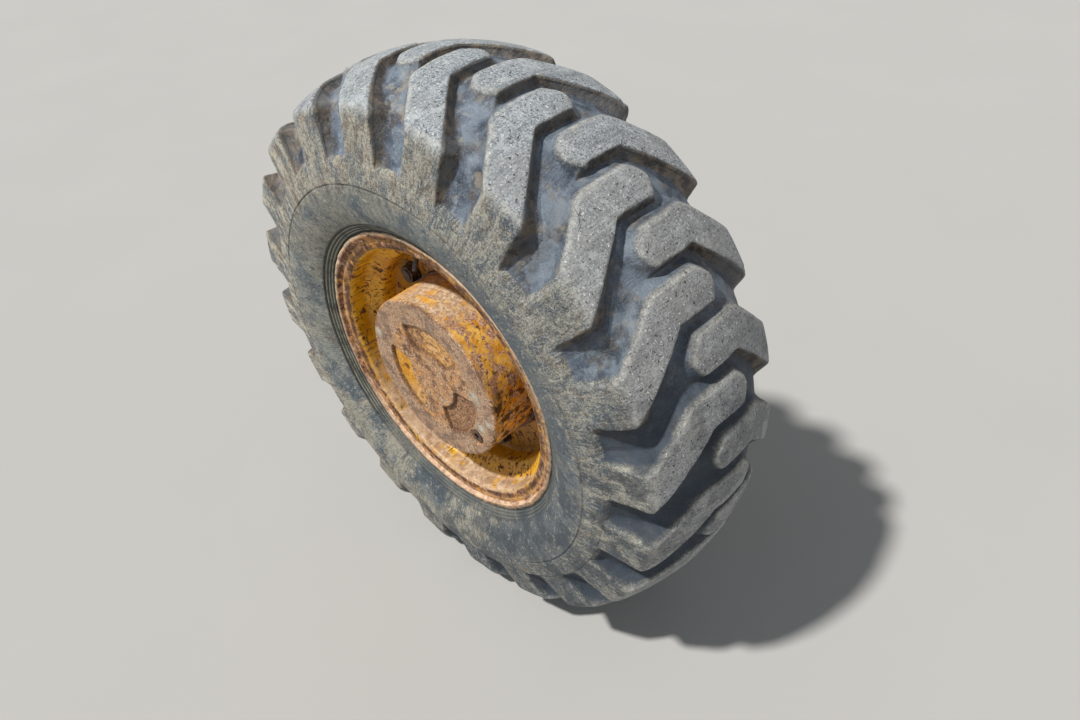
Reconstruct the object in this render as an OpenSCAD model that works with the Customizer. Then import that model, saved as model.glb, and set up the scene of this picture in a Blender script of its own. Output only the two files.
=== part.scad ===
// Front wheel of a wheeled digger: lugged tyre on a steel wheel, bolted to a
// driven planetary hub that turns on a steering swivel housing.
// The wheel axis lies along Y with the outer side towards -Y, the vehicle's
// front is towards -X and up is +Z.  The origin is where the kingpin axis
// crosses the wheel axis.  All sizes are in millimetres.

/* [Tyre] */
// Radius over the worn tread at the middle of the tyre
tread_r = 478; // [460:1:500]
// Depth of the tread grooves at the middle of the tyre
tread_depth = 17; // [10:1:24]
// Radius of the crown's curve across the tyre
crown_curve_r = 295; // [260:5:400]
// Distance from the tyre's middle plane to the outer end of a lug's tread face
shoulder_half_w = 139; // [132:1:142]
// Radius at which the lugs and grooves run out into the sidewall
lug_foot_r = 369; // [360:1:385]
// Half the width of the tyre at the widest part of its sidewall
section_half_w = 158; // [154:1:164]
// Radius of the widest part of the sidewall
widest_r = 332; // [315:1:345]
// Thickness of the casing
casing_t = 17; // [12:1:22]

/* [Tread lugs] */
// Lugs on each side of the tyre
lugs_per_side = 20; // [16:1:22]
// Width of a lug's middle leg, measured round the tyre
mid_leg_w = 50; // [40:1:54]
// Width of a lug's outer leg, measured square to the leg
outer_leg_w = 52; // [42:1:56]
// How far the nose of each lug reaches past the middle of the tyre
nose_reach = 41; // [30:1:46]
// Distance from the tyre's middle plane to the inner corner of the bend
bend_half_w = 39; // [34:1:46]
// Angle of the outer leg from the tyre's circumference
leg_angle = 48; // [42:1:54]

/* [Wheel] */
// Radius of the bead seats
bead_r = 228.6; // [222:0.1:235]
// Half the width between the flanges
rim_half_w = 114.3; // [110:0.1:120]
// Height of the flanges above the bead seats
flange_h = 25.4; // [22:0.1:28]
// Plate thickness of the rim
rim_t = 8; // [6:0.5:9]
// Depth of the well below the bead seats
well_depth = 25.6; // [20:0.1:28]
// Half the width of the well's floor
well_half_w = 64; // [58:1:68]
// Thickness of the wheel disc
disc_t = 12; // [10:0.5:16]
// Distance of the disc's outer face outboard of the tyre's middle plane
disc_offset = 38; // [34:1:46]
// Radius of the disc's centre hole
disc_hole_r = 149; // [148.5:0.5:151]

/* [Wheel nuts] */
// Wheel nuts and studs
nut_count = 5; // [5:1:10]
// Pitch circle diameter of the studs
stud_pcd = 335; // [333:1:337]
// Diameter of the studs
stud_d = 20; // [18:1:21]
// Size of the nuts across their flats
nut_af = 28; // [26:1:34]
// Height of the nuts above their collars
nut_h = 12; // [10:1:24]
// Angle of the first nut, from the rear, upwards
nut_phase = -2.5; // [-30:0.5:30]

/* [Hub] */
// Radius of the hub cover
cover_r = 144; // [138:0.5:146]
// Distance of the cover's face outboard of the tyre's middle plane
cover_face = 134; // [124:1:144]
// Radius of the hub's spigot in the disc's centre hole
spigot_r = 148; // [147:0.5:148]
// Radius of the hub's wheel flange
flange_r = 184; // [182:1:186]
// Thickness of the hub's wheel flange
flange_t = 20; // [16:1:24]
// Radius of the hub barrel behind the flange
barrel_r = 138; // [130:1:142]
// Distance of the hub barrel's inner end inboard of the tyre's middle plane
barrel_end = 46; // [40:1:52]
// Radius of the spindle that the hub turns on
spindle_r = 70; // [62:1:76]
// Depth of the pockets cast into the cover's face
pocket_depth = 5; // [3:0.5:7]

/* [Swivel housing] */
// Distance from the tyre's middle plane to the kingpin axis
wheel_offset = 210; // [206:1:220]
// Radius of the kingpin bores
kingpin_r = 30; // [24:0.5:30]
// Distance between the upper and lower kingpin bosses
kingpin_gap = 176; // [170:1:190]
// Length of each kingpin bore
kingpin_len = 34; // [28:1:38]
// Radius of the round kingpin bosses
boss_r = 58; // [56:1:62]
// Pitch circle diameter of the kingpin cap bolts
cap_pcd = 92; // [88:1:94]
// Radius of the housing's round body
body_r = 122; // [116:1:128]
// Distance from the kingpin axis to the track rod hole, rearwards
arm_reach = 172; // [150:1:190]
// Distance from the kingpin axis to the track rod hole, inboard
arm_inset = 52; // [40:1:70]
// Radius of the track rod hole
rod_hole_r = 12; // [9:0.5:13]

/* [Drive shaft] */
// Radius of the drive shaft
shaft_r = 22; // [18:0.5:24]
// Radius of the bores in the shaft's yoke
eye_r = 19.5; // [17:0.5:20]
// Distance over the ears of the yoke
yoke_w = 116; // [112:1:120]
// Thickness of each ear of the yoke
ear_t = 18; // [16:1:20]

/* [Hidden] */
$fn = 96;

rubber = [0.22, 0.24, 0.26];
paint = [0.85, 0.58, 0.06];
rust = [0.45, 0.27, 0.16];
dark = [0.10, 0.09, 0.08];
steel = [0.55, 0.55, 0.53];

run_gap = 0.05;

pitch = 360 / lugs_per_side;
lug_phase = 85.1;
side_curve_r = widest_r - bead_r + 6.6;
floor_curve_r = 250;
groove_half_w = 92;
groove_drop = 17.5;
// From the lugs' foot to the lowest end of the groove's floor: outwards, and towards the middle
groove_end = [9, -14];
floor_r = tread_r - tread_depth;
disc_in = disc_offset - disc_t;
flange_in = disc_in - flange_t;
stud_r = stud_pcd / 2;

// Places on the wheel: angles run from the rear (0) upwards (90)
valve_angle = 107.5;
valve_at = well_half_w + 11;
valve_lean = 31;
valve_r = 7;
valve_stem_r = 4;
valve_len = 28;
spigot_end = disc_offset + 8;
pocket_phase = 44;
pocket_count = 3;
pocket_span = 80;
pocket_in_r = 50;
pocket_out_r = 100;
plug_angle = 323;
plug_ring_r = 114;
plug_r = 11;
plug_seat_r = plug_r + 5;
plug_depth = 14;

// The yoke: how far its hub and the floor between its ears lie from the kingpin axis
yoke_back = 78;
yoke_floor = 52;
yoke_hub_r = shaft_r + 14;
ear_r = eye_r + 11;

// Places on the hub and swivel housing, inboard of the tyre's middle
spindle_end = 16;
housing_start = barrel_end + 6;
cavity_end = wheel_offset - yoke_back - 6;
cavity_r = 80;
seal_r = shaft_r + 14;
arm_z = -62;
arm_t = 30;
cap_hole_r = 7;
stop_r = 8;
stop_from = -108;
stop_boss = 44;
stop_len = 71;

// Points of a shallow curve from p to q that bulges sideways by sag
function bow(p, q, sag, n) =
    let (d = q - p, l = norm(d), nrm = [-d[1], d[0]] / l)
    [for (i = [0:n]) let (t = i / n) p + d * t + nrm * (4 * sag * t * (1 - t))];

// Points of a round corner of radius r at c, from angle a to angle b
function fillet(c, r, a, b, n) = [for (i = [0:n]) let (t = a + (b - a) * i / n) c + r * [cos(t), sin(t)]];

function mirrored(pts) = [for (i = [len(pts) - 1:-1:0]) [pts[i][0], -pts[i][1]]];

// Radius of the crown at a distance w from the middle plane
function crown(w) = tread_r - w * w / (2 * crown_curve_r);

// The wheel frame has the wheel axis along Z, outboard up, the tyre's middle at 0
module on_axle() {
    translate([0, -wheel_offset, 0]) rotate([90, 0, 0]) children();
}

module revolve(pts) {
    rotate_extrude() polygon(pts);
}

module ring(r_out, r_in, from, to) {
    translate([0, 0, from]) difference() {
        cylinder(r = r_out, h = to - from);
        translate([0, 0, -1]) cylinder(r = r_in, h = to - from + 2);
    }
}

// Half width of the sidewall at radius r
function side_a(r) = section_half_w - side_curve_r + sqrt(pow(side_curve_r, 2) - pow(r - widest_r, 2));

// Section of the casing: bead and sidewall on each side, and the grooved tread band
module casing_section() {
    clinch = [bead_r + flange_h + 4, side_a(bead_r + flange_h + 4)];
    foot = [lug_foot_r, side_a(lug_foot_r)];
    groove = [floor_r - groove_drop, groove_half_w];
    low_end = foot + groove_end;
    bead = [[bead_r, rim_half_w - 24], [bead_r, rim_half_w], [bead_r + 14, rim_half_w],
            [bead_r + 21, rim_half_w + 1.5], [bead_r + flange_h + 1.5, rim_half_w + 7], clinch,
            [clinch[0] + 12, clinch[1] - 6], [clinch[0] + 20, rim_half_w - 24]];
    band = [[foot[0] - 30, 0], [foot[0] - 30, foot[1] - 20], foot, low_end, groove + (groove - low_end) * 0.5,
            [tread_r + 10, groove_half_w * 0.4], [tread_r + 10, 0]];
    for (side = [-1, 1]) scale([1, side]) {
        polygon(bead);
        intersection() {
            translate([widest_r, section_half_w - side_curve_r]) circle(side_curve_r, $fn = 64);
            translate([clinch[0], rim_half_w - 24]) square([foot[0] - clinch[0], 100]);
        }
    }
    intersection() {
        polygon(concat(band, mirrored(band)));
        translate([floor_r - floor_curve_r, 0]) circle(floor_curve_r, $fn = 96);
    }
}

// Section of the air chamber, open towards the rim
module cavity_section() {
    t = casing_t;
    half = [[bead_r - 5, 0], [bead_r - 5, rim_half_w - 24.5], [bead_r + flange_h, rim_half_w - 14],
            [bead_r + flange_h + 24, side_a(bead_r + flange_h + 24) - t], [widest_r, section_half_w - t],
            [lug_foot_r - 4, side_a(lug_foot_r) - t - 3], [floor_r - groove_drop - t - 6, groove_half_w - 6],
            [floor_r - t - 8, groove_half_w / 2], [floor_r - t - 5, 0]];
    polygon(concat(half, mirrored(half)));
}

// Section of the block that the lugs are cut from: tread face, shoulder, sloped side and foot
module lug_section() {
    w = shoulder_half_w;
    foot = [lug_foot_r - 2, side_a(lug_foot_r - 2) + 1.4];
    half = [[floor_r - 60, 0], [floor_r - 60, 60], foot - [22, 20], foot - [10, 5], foot,
            [crown(w) - 5, w], [crown(w - 5) + 0.5, w - 5], [tread_r + 5, w - 20], [tread_r + 5, 0]];
    intersection() {
        polygon(concat(half, mirrored(half)));
        translate([tread_r - crown_curve_r, 0]) circle(crown_curve_r, $fn = 96);
    }
}

// Outline of one lug: x round the tyre, y outboard from the middle plane
module lug_outline() {
    run = 1 / tan(leg_angle);
    w = shoulder_half_w - 6;
    far = section_half_w + 6;
    tail = -run * (w - bend_half_w);
    lead = outer_leg_w / sin(leg_angle);
    bend_lead = bend_half_w + (lead - mid_leg_w) / run;
    polygon([[0, 14 - nose_reach], [0, bend_half_w], [tail, w], [tail - 9, far],
             [tail + lead - 7, far], [tail + lead, w], [mid_leg_w, bend_lead],
             [mid_leg_w, 15 - nose_reach], [mid_leg_w - 5, 5 - nose_reach], [mid_leg_w - 16, -nose_reach],
             [14, -nose_reach], [4, 4 - nose_reach]]);
}

// One lug as a radial block, its bend at angle 0
module lug_block() {
    middle = mid_leg_w / 2;
    rotate([0, 0, -middle / tread_r * 180 / PI]) translate([lug_foot_r - 30, 0, 0]) rotate([90, 0, 90])
        linear_extrude(tread_r - lug_foot_r + 60) translate([middle, 0]) lug_outline();
}

module tyre() {
    color(rubber) on_axle() difference() {
        union() {
            rotate_extrude() casing_section();
            intersection() {
                rotate_extrude() lug_section();
                for (k = [0:lugs_per_side - 1]) {
                    rotate([0, 0, lug_phase - pitch * k]) lug_block();
                    rotate([0, 0, lug_phase - pitch * (k + 0.5)]) mirror([0, 0, 1]) lug_block();
                }
            }
        }
        rotate_extrude() cavity_section();
    }
}

// Outboard half of the rim's section, from the well to the flange and back
function rim_half() = let (
        well_out = bead_r - well_depth,
        seat_in = bead_r - rim_t,
        curl = [bead_r + flange_h - 14, rim_half_w + 14])
    concat([[well_out - rim_t, 0], [well_out - rim_t, well_half_w + 6], [seat_in, well_half_w + 26],
            [seat_in, rim_half_w], [seat_in + 1, rim_half_w + 5], [seat_in + 5.4, rim_half_w + rim_t]],
           fillet(curl, 14 - rim_t, -90, 0, 4),
           fillet(curl, 14, 0, -90, 6),
           [[bead_r, rim_half_w], [bead_r, well_half_w + 24], [well_out, well_half_w + 4], [well_out, 0]]);

module wheel_rim() {
    color(paint) on_axle() difference() {
        revolve(concat(rim_half(), mirrored(rim_half())));
        valve_line() translate([0, 0, -30]) cylinder(r = valve_r, h = 60);
    }
}

// A ring of copies on the stud circle
module at_studs() {
    for (k = [0:nut_count - 1]) rotate([0, 0, nut_phase + 360 / nut_count * k])
        translate([stud_r, 0, 0]) children();
}

module wheel_disc() {
    well_in = bead_r - well_depth - rim_t;
    weld = 7;
    color(paint) on_axle() difference() {
        union() {
            ring(well_in, disc_hole_r, disc_in, disc_offset);
            revolve([[well_in - weld, disc_offset - 1], [well_in, disc_offset - 1], [well_in, disc_offset + weld]]);
            revolve([[well_in - weld, disc_in + 1], [well_in, disc_in - weld], [well_in, disc_in + 1]]);
        }
        at_studs() translate([0, 0, disc_in - 1]) cylinder(r = stud_d / 2 + 1.5, h = disc_t + 2);
    }
}

module wheel_studs() {
    color(dark) on_axle() at_studs() {
        translate([0, 0, flange_in - 9]) cylinder(r = stud_d / 2 + 5, h = 9);
        translate([0, 0, flange_in - 1]) cylinder(r = stud_d / 2, h = disc_offset + nut_h + 7 - flange_in);
    }
}

module wheel_nuts() {
    color(dark) on_axle() at_studs() difference() {
        union() {
            translate([0, 0, disc_offset]) cylinder(r = nut_af / 2 + 4.5, h = 4);
            translate([0, 0, disc_offset + 4]) intersection() {
                cylinder(r = nut_af / 2 / cos(30), h = nut_h, $fn = 6);
                cylinder(r1 = nut_af / 2 + 14, r2 = nut_af / 2 + 0.5, h = nut_h);
            }
        }
        translate([0, 0, disc_offset - 1]) cylinder(r = stud_d / 2, h = nut_h + 8);
    }
}

// The valve's own axis: through the well, leaning outboard
module valve_line() {
    rotate([0, 0, valve_angle]) translate([bead_r - well_depth - rim_t, 0, valve_at])
        rotate([0, -90 + valve_lean, 0]) children();
}

module valve() {
    color(dark) on_axle() valve_line() {
        translate([0, 0, -rim_t - 11]) cylinder(r = valve_r, h = rim_t + 11);
        translate([0, 0, -1.5]) cylinder(r1 = valve_r + 2, r2 = valve_stem_r + 1.5, h = 9);
        cylinder(r = valve_stem_r, h = valve_len - 1);
        translate([0, 0, valve_len - 12]) cylinder(r = valve_stem_r + 0.6, h = 12);
    }
}

// One cast pocket: a piece of a ring that starts at angle 0
module pocket() {
    reach = 2 * pocket_out_r;
    translate([0, 0, cover_face - pocket_depth]) linear_extrude(2 * pocket_depth) difference() {
        circle(pocket_out_r);
        circle(pocket_in_r);
        rotate(-90) translate([0, -reach]) square(2 * reach);
        rotate(pocket_span + 90) translate([0, -reach]) square(2 * reach);
    }
}

module hub_cover() {
    edge = 7;
    color(rust) on_axle() difference() {
        revolve([[0, spigot_end], [cover_r, spigot_end], [cover_r, cover_face - edge],
                 [cover_r - edge * 0.3, cover_face - edge * 0.3], [cover_r - edge, cover_face], [0, cover_face]]);
        for (k = [0:pocket_count - 1]) rotate([0, 0, pocket_phase + 360 / pocket_count * k]) pocket();
        plug_line() translate([0, 0, -plug_depth]) cylinder(r = plug_seat_r, h = 2 * plug_depth);
    }
}

module plug_line() {
    rotate([0, 0, plug_angle]) translate([plug_ring_r, 0, cover_face]) children();
}

module level_plug() {
    color(dark) on_axle() plug_line() translate([0, 0, -plug_depth]) difference() {
        union() {
            cylinder(r = plug_seat_r, h = 5);
            cylinder(r = plug_r, h = 12);
        }
        translate([0, 0, 5]) cylinder(r = 6, h = 10, $fn = 6);
    }
}

module hub_body() {
    color(rust) on_axle() difference() {
        union() {
            translate([0, 0, flange_in]) cylinder(r = flange_r, h = flange_t);
            translate([0, 0, disc_in - 1]) cylinder(r = spigot_r, h = spigot_end - disc_in + 1);
            revolve([[0, flange_in + 1], [flange_r - 34, flange_in + 1], [flange_r - 34, flange_in],
                     [barrel_r, flange_in - 8], [barrel_r, 8 - barrel_end], [barrel_r - 6, -barrel_end],
                     [0, -barrel_end]]);
        }
        translate([0, 0, -barrel_end - 1]) cylinder(r = spindle_r + run_gap, h = barrel_end + 1 + spindle_end + 2);
        cylinder(r = shaft_r + 4, h = spigot_end - 6);
        at_studs() translate([0, 0, flange_in - 1]) cylinder(r = stud_d / 2, h = flange_t + 2);
    }
}

module hub_seal() {
    color(dark) on_axle() ring(barrel_r - 12, spindle_r + 18, -housing_start, -barrel_end - 1);
}

// Side view of one kingpin arm, x inboard and y up
module arm_side() {
    top = kingpin_gap / 2 + kingpin_len - 5;
    low = kingpin_gap / 2 + 3;
    root = housing_start - wheel_offset + 10;
    polygon([[root, 30], [root, body_r - 18], [root + 36, body_r - 5], [-boss_r - 4, top], [boss_r, top],
             [boss_r, low], [-boss_r + 6, low], [-boss_r - 16, low - 14], [root + 45, 30]]);
}

// Plan view of the arms: round end, widening towards the wheel
module arm_plan() {
    root = housing_start - wheel_offset;
    half_w = body_r * 0.72;
    polygon(concat(fillet([0, 0], boss_r - 5, 0, 180, 12),
                   [[-half_w, root + 20], [-half_w, root], [half_w, root], [half_w, root + 20]]));
}

module kingpin_arm() {
    top = kingpin_gap / 2 + kingpin_len;
    intersection() {
        translate([-body_r, 0, 0]) rotate([90, 0, 90]) linear_extrude(2 * body_r) arm_side();
        linear_extrude(top + 10) arm_plan();
    }
    translate([0, 0, kingpin_gap / 2]) cylinder(r = boss_r, h = kingpin_len);
}

// Steering arm in plan: from the housing's side to a round eye
module arm_outline() {
    root = housing_start - wheel_offset + 36;
    eye = [arm_reach, arm_inset];
    eye_end = rod_hole_r + 18;
    polygon(concat(fillet(eye, eye_end, 150, -20, 10),
                   bow([128, -52], [88, root - 16], 2, 4),
                   [[40, root - 16], [40, root + 40], [70, root + 44]],
                   [[92, -28], [112, 0]]));
}

module steering_arm() {
    translate([0, 0, arm_z - arm_t / 2]) linear_extrude(arm_t) arm_outline();
}

module swivel_housing() {
    color(paint) difference() {
        union() {
            on_axle() {
                translate([0, 0, -housing_start]) cylinder(r = spindle_r, h = housing_start + spindle_end);
                revolve([[0, -housing_start], [spindle_r + 16, -housing_start], [body_r - 6, -housing_start - 6],
                         [body_r, -housing_start - 12], [body_r, -housing_start - 26],
                         [body_r - 14, -cavity_end + 4], [body_r - 14, -cavity_end - 14], [0, -cavity_end - 14]]);
            }
            kingpin_arm();
            mirror([0, 0, 1]) kingpin_arm();
            steering_arm();
            stop_line() cylinder(r = 20, h = stop_boss);
        }
        on_axle() {
            translate([0, 0, -wheel_offset - 100]) cylinder(r = cavity_r, h = wheel_offset + 100 - cavity_end);
            translate([0, 0, -wheel_offset]) cylinder(r = shaft_r + run_gap, h = wheel_offset + spindle_end + 1);
            translate([0, 0, -cavity_end + 34]) cylinder(r = shaft_r + 6, h = cavity_end + spindle_end);
            translate([0, 0, -cavity_end - 1]) cylinder(r = seal_r, h = 9);
        }
        for (s = [-1, 1]) translate([0, 0, s * (kingpin_gap + kingpin_len) / 2]) {
            cylinder(r = kingpin_r, h = kingpin_len + 2, center = true);
            for (k = [0:3]) rotate([0, 0, 45 + 90 * k]) translate([cap_pcd / 2, 0, 0])
                cylinder(r = cap_hole_r, h = kingpin_len + 2, center = true);
        }
        translate([arm_reach, arm_inset, arm_z]) cylinder(r = rod_hole_r, h = arm_t + 2, center = true);
        stop_line() translate([0, 0, -1]) cylinder(r = stop_r, h = stop_len);
    }
}

module shaft_seal() {
    color(dark) on_axle() translate([0, 0, -cavity_end - 1]) difference() {
        cylinder(r = seal_r, h = 9);
        translate([0, 0, -1]) cylinder(r = shaft_r + 0.4, h = 11);
    }
}

// Axis of the steering stop screw, pointing inboard
module stop_line() {
    translate([-body_r + 26, stop_from, -20]) rotate([-90, 0, 0]) children();
}

module steering_stop() {
    head_r = 15;
    color(steel) stop_line() {
        cylinder(r = stop_r, h = stop_len - 1);
        translate([0, 0, stop_boss]) cylinder(r = head_r, h = 9, $fn = 6);
        translate([0, 0, stop_len - 11]) cylinder(r = head_r, h = 11, $fn = 6);
    }
}

module drive_shaft() {
    color(steel) on_axle() translate([0, 0, yoke_back - wheel_offset])
        cylinder(r = shaft_r, h = wheel_offset - yoke_back + spigot_end - 10);
}

// The yoke's round outer form, along the shaft
module yoke_round() {
    rotate([-90, 0, 0]) translate([0, 0, -yoke_back]) cylinder(r = yoke_w / 2 + 3, h = 2 * yoke_back);
}

module shaft_yoke() {
    bar_t = yoke_back - yoke_floor - 6;
    color(steel) difference() {
        union() {
            rotate([-90, 0, 0]) translate([0, 0, -yoke_back]) cylinder(r = yoke_hub_r, h = bar_t);
            intersection() {
                translate([-yoke_w / 2, 6 - yoke_back, -ear_r]) cube([yoke_w, bar_t, 2 * ear_r]);
                yoke_round();
            }
        }
        rotate([-90, 0, 0]) translate([0, 0, -yoke_back - 1]) cylinder(r = shaft_r, h = bar_t + 4);
    }
}

module yoke_ears() {
    color(steel) difference() {
        intersection() {
            for (from = [-yoke_w / 2, yoke_w / 2 - ear_t]) translate([from, 0, 0]) rotate([90, 0, 90])
                linear_extrude(ear_t) {
                    circle(ear_r);
                    translate([-yoke_floor, -ear_r]) square([yoke_floor, 2 * ear_r]);
                }
            yoke_round();
        }
        rotate([0, 90, 0]) cylinder(r = eye_r, h = yoke_w + 20, center = true);
    }
}

tyre();
wheel_rim();
wheel_disc();
valve();
hub_cover();
level_plug();
hub_body();
wheel_studs();
wheel_nuts();
swivel_housing();
hub_seal();
shaft_seal();
steering_stop();
drive_shaft();
shaft_yoke();
yoke_ears();
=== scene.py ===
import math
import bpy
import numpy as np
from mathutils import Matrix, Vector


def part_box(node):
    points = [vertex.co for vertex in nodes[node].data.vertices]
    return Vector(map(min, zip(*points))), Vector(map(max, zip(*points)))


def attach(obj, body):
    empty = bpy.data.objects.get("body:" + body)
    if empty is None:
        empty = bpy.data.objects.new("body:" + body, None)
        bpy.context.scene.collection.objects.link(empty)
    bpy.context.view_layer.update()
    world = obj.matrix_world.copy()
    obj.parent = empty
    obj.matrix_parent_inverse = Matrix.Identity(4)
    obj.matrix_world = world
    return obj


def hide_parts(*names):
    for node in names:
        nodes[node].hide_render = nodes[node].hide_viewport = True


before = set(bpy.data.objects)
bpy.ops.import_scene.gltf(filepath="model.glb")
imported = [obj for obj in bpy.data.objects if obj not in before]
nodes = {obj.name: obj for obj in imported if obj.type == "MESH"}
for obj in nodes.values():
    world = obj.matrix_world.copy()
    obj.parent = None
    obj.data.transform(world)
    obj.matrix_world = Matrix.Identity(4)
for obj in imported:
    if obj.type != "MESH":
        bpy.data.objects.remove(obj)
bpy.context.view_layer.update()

# The dressed front wheel: worn lugged tyre, rusty painted rim, rough hub cover.
# Shapes are worked out in millimetres in the wheel's own coordinates: a is the
# distance outboard of the tyre's middle plane, r the radius, and the angle runs
# from the rear (0) upwards (90). On the tread, v is the developed distance from
# the middle to the lug's foot, and u the distance round the tyre.

tyre_low, tyre_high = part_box("tyre")
MM = 0.001
MIDDLE_Y = (tyre_low.y + tyre_high.y) / 2
FLOOR_Z = tyre_low.z
TURN = 2 * math.pi

# Camera: the photograph's place, angle and lens
CAMERA_PLACE = (0.8535, MIDDLE_Y - 0.6903, 0.8505)
CAMERA_AZIMUTH = math.radians(47.03)
CAMERA_ELEVATION = math.radians(39.59)
CAMERA_ROLL = math.radians(-5.48)
CAMERA_LENS = 27.57
SENSOR_WIDTH = 36

SUN_DIRECTION = (0.197, 0.478, -0.856)
SUN_WIDTH = 3.5  # degrees
SUN_STRENGTH = 3.5
SUN_COLOR = (1.0, 0.97, 0.92)
SKY_COLOR = (0.93, 0.96, 1.0, 1)
SKY_FILL = 0.26  # its light on the object
SKY_SEEN = 0.9  # what the camera and reflections see
FLOOR_HALF = 60


def set_camera():
    data = bpy.data.cameras.new("camera")
    data.sensor_fit = "HORIZONTAL"
    data.sensor_width = SENSOR_WIDTH
    data.lens = CAMERA_LENS
    data.clip_start = 0.02
    az, el = CAMERA_AZIMUTH, CAMERA_ELEVATION
    back = Vector((math.sin(az) * math.cos(el), -math.cos(az) * math.cos(el), math.sin(el)))
    level = Vector((math.cos(az), math.sin(az), 0))
    upright = back.cross(level)
    right = level * math.cos(CAMERA_ROLL) + upright * math.sin(CAMERA_ROLL)
    turned = Matrix((right, back.cross(right), back)).transposed().to_4x4()
    camera = bpy.data.objects.new("camera", data)
    camera.matrix_world = Matrix.Translation(CAMERA_PLACE) @ turned
    bpy.context.collection.objects.link(camera)
    bpy.context.scene.camera = camera


def add_sun():
    data = bpy.data.lights.new("key", "SUN")
    data.angle = math.radians(SUN_WIDTH)
    data.energy = SUN_STRENGTH
    data.color = SUN_COLOR
    lamp = bpy.data.objects.new("key", data)
    lamp.rotation_euler = Vector(SUN_DIRECTION).to_track_quat("-Z", "Y").to_euler()
    bpy.context.collection.objects.link(lamp)


# Smooth random values

def lattice(cell, seed):
    """A random value from -1 to 1 for each cell, from its numbers and the seed alone."""
    h = (cell[..., 0] * 73856093) ^ (cell[..., 1] * 19349663) ^ (cell[..., 2] * 83492791)
    h = h ^ (seed * 40503 + 977)
    h = ((h ^ (h >> 13)) * 1274126177) & 0xFFFFFFFF
    h = ((h ^ (h >> 16)) * 2246822519) & 0xFFFFFFFF
    return ((h >> 8) & 0xFFFF) / 32767.5 - 1


def rough(points, size, seed):
    """Smooth random values from -1 to 1 at points, with features of that size."""
    q = np.asarray(points) / size
    cell = np.floor(q).astype(np.int64)
    t = q - cell
    t = t * t * (3 - 2 * t)
    total = 0
    for corner in range(8):
        bits = np.array([(corner >> i) & 1 for i in range(3)])
        total = total + np.prod(np.where(bits, t, 1 - t), axis=-1) * lattice(cell + bits, seed)
    return total


def layered(points, size, seed):
    """Smooth random values in three layers, each half the size and strength of the one before."""
    layers = [rough(points, size / 2 ** i, seed + i) / 2 ** i for i in range(3)]
    return sum(layers) / 1.75


def step(value, low, high):
    """Smoothly from 0, where value is low, to 1, where it is high."""
    t = np.clip((value - low) / (high - low), 0, 1)
    return t * t * (3 - 2 * t)


def hump(value, middle, width):
    """1 where value is at the middle, falling off smoothly over that width."""
    return np.exp(-((value - middle) / width) ** 2)


def soft_min(p, q, k):
    """The smaller of two heights, with their crossing rounded over k."""
    h = np.maximum(k - np.abs(p - q), 0) / k
    return np.minimum(p, q) - h * h * k / 4


def soft_max(p, q, k):
    return -soft_min(-p, -q, k)


def round_arc(a, r, radius, start, end, count):
    """Points (a, r) of an arc, its angles in degrees from the outboard direction outwards."""
    turn = np.radians(np.linspace(start, end, count))
    return [(a + radius * math.cos(t), r + radius * math.sin(t)) for t in turn]


# Meshes in the wheel's coordinates

AROUND = 640  # columns round the sidewalls and the rim
COVER_AROUND = 540


def columns(count):
    return np.linspace(0, TURN, count, endpoint=False)


def spread(section, angles):
    """A section's a and r for every column round the axle, and its places in millimetres."""
    a, r = [section[:, i:i + 1] * np.ones_like(angles) for i in range(2)]
    return a, r, place(a, r, angles) / MM


def place(a, r, angle):
    """Points of the part's frame, in metres."""
    return np.stack([r * np.cos(angle) * MM, MIDDLE_Y - a * MM, r * np.sin(angle) * MM], -1)


def sheet(name, points, masks, closed=True):
    """A mesh of rows of points round the axle; the rows close into a ring or end in caps."""
    rows, cols = points.shape[:2]
    index = np.arange(rows * cols).reshape(rows, cols)
    following = np.roll(index, -1, axis=1)
    last = rows if closed else rows - 1
    up = (np.arange(last) + 1) % rows
    quads = np.stack([index[:last], following[:last], following[up], index[up]], -1).reshape(-1, 4)
    verts = points.reshape(-1, 3)
    faces = quads.tolist()
    values = [np.broadcast_to(mask, (rows, cols)).reshape(-1) for _, mask in masks]
    for row in () if closed else (0, rows - 1):
        middle = len(verts)
        verts = np.vstack([verts, points[row].mean(0)])
        values = [np.append(v, v[index[row]].mean()) for v in values]
        pairs = zip(index[row].tolist(), following[row].tolist())
        faces += [[p, q, middle] if row else [q, p, middle] for p, q in pairs]
    mesh = bpy.data.meshes.new(name)
    mesh.from_pydata(verts.tolist(), [], faces)
    mesh.polygons.foreach_set("use_smooth", np.ones(len(faces), bool))
    for (mask_name, _), value in zip(masks, values):
        layer = mesh.attributes.new(mask_name, "FLOAT", "POINT")
        layer.data.foreach_set("value", value.astype(np.float32))
    mesh.update()
    piece = bpy.data.objects.new(name, mesh)
    bpy.context.collection.objects.link(piece)
    return piece


def along(points, spacing):
    """Points about that far apart along a polyline, its corners kept."""
    out = [points[0]]
    for p, q in zip(points[:-1], points[1:]):
        n = max(1, round(math.dist(p, q) / spacing))
        out += [tuple(p[i] + (q[i] - p[i]) * k / n for i in range(2)) for k in range(1, n + 1)]
    return out


# Tyre

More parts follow.
